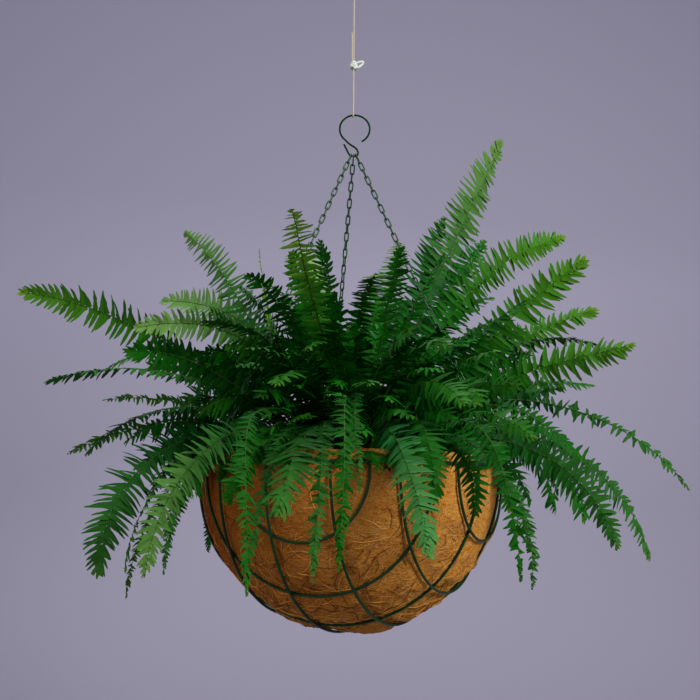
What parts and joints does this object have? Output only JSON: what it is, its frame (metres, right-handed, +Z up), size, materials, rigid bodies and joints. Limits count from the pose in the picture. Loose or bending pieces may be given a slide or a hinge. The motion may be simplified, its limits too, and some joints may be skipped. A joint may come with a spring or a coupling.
{
  "type": "hanging basket",
  "caption": "Round-bottomed wire hanging basket with a coir liner, chains, a ring hook and a twine, planted with an arching sword fern.",
  "frame": {"origin": "inside top of the twine's hanging loop, where the part is held", "axes": "+Z up along the twine, -Y towards the basket's front, +X to the right seen from the front"},
  "size_m": [0.7543, 0.7679, 0.8604],
  "materials": {
    "coated_wire": "satin",
    "chain_wire": "satin",
    "hook_wire": "satin",
    "coir": "matte",
    "potting_mix": "matte",
    "fern": "matte",
    "twine": "matte"
  },
  "bodies": {
    "cord": {"hanging_cord": "twine", "cord_tail": "twine", "top_knot": "twine"},
    "cord_loop": {"cord_knot": "twine", "cord_loop": "twine"},
    "hook": {"hanger_hook": "hook_wire"},
    "basket": {"rim_ring": "coated_wire", "inner_rib_1": "coated_wire", "inner_rib_2": "coated_wire", "inner_rib_3": "coated_wire", "inner_rib_4": "coated_wire", "inner_rib_5": "coated_wire", "inner_rib_6": "coated_wire", "inner_rib_7": "coated_wire", "outer_rib_1": "coated_wire", "outer_rib_2": "coated_wire", "outer_rib_3": "coated_wire", "outer_rib_4": "coated_wire", "outer_rib_5": "coated_wire", "outer_rib_6": "coated_wire", "outer_rib_7": "coated_wire", "coir_liner": "coir", "potting_soil": "potting_mix", "fern_crown": "fern", "frond_01": "fern", "frond_02": "fern", "frond_03": "fern", "frond_04": "fern", "frond_05": "fern", "frond_06": "fern", "frond_07": "fern", "frond_08": "fern", "frond_09": "fern", "frond_10": "fern", "frond_11": "fern", "frond_12": "fern", "frond_13": "fern", "frond_14": "fern", "frond_15": "fern", "frond_16": "fern", "frond_17": "fern", "frond_18": "fern", "frond_19": "fern", "frond_20": "fern", "frond_21": "fern", "frond_22": "fern", "frond_23": "fern", "frond_24": "fern", "frond_25": "fern", "frond_26": "fern", "frond_27": "fern", "frond_28": "fern", "frond_29": "fern", "frond_30": "fern"},
    "chain_1": {"chain_1": "chain_wire", "rim_clip_1": "chain_wire"},
    "chain_2": {"chain_2": "chain_wire", "rim_clip_2": "chain_wire"},
    "chain_3": {"chain_3": "chain_wire", "rim_clip_3": "chain_wire"}
  },
  "joints": [
    {"name": "cord_twist", "type": "hinge", "parent": "cord", "child": "cord_loop", "pos_m": [0, 0, -0.1405], "axis": [0, 0, 1], "continuous": true},
    {"name": "hook_swing", "type": "hinge", "parent": "cord_loop", "child": "hook", "pos_m": [0, 0, -0.2181], "axis": [0, 1, 0], "range_deg": [-20, 20]},
    {"name": "basket_swing", "type": "hinge", "parent": "hook", "child": "basket", "pos_m": [0, 0, -0.275], "axis": [1, 0, 0], "range_deg": [-20, 20]},
    {"name": "chain_1_swing", "type": "hinge", "parent": "hook", "child": "chain_1", "pos_m": [0, 0, -0.275], "axis": [1, 0, 0], "range_deg": [-20, 20]},
    {"name": "chain_2_swing", "type": "hinge", "parent": "hook", "child": "chain_2", "pos_m": [0, 0, -0.275], "axis": [1, 0, 0], "range_deg": [-20, 20]},
    {"name": "chain_3_swing", "type": "hinge", "parent": "hook", "child": "chain_3", "pos_m": [0, 0, -0.275], "axis": [1, 0, 0], "range_deg": [-20, 20]}
  ],
  "couplings": [
    {"joint": "chain_1_swing", "follows": "basket_swing", "ratio": 1},
    {"joint": "chain_2_swing", "follows": "basket_swing", "ratio": 1},
    {"joint": "chain_3_swing", "follows": "basket_swing", "ratio": 1}
  ]
}
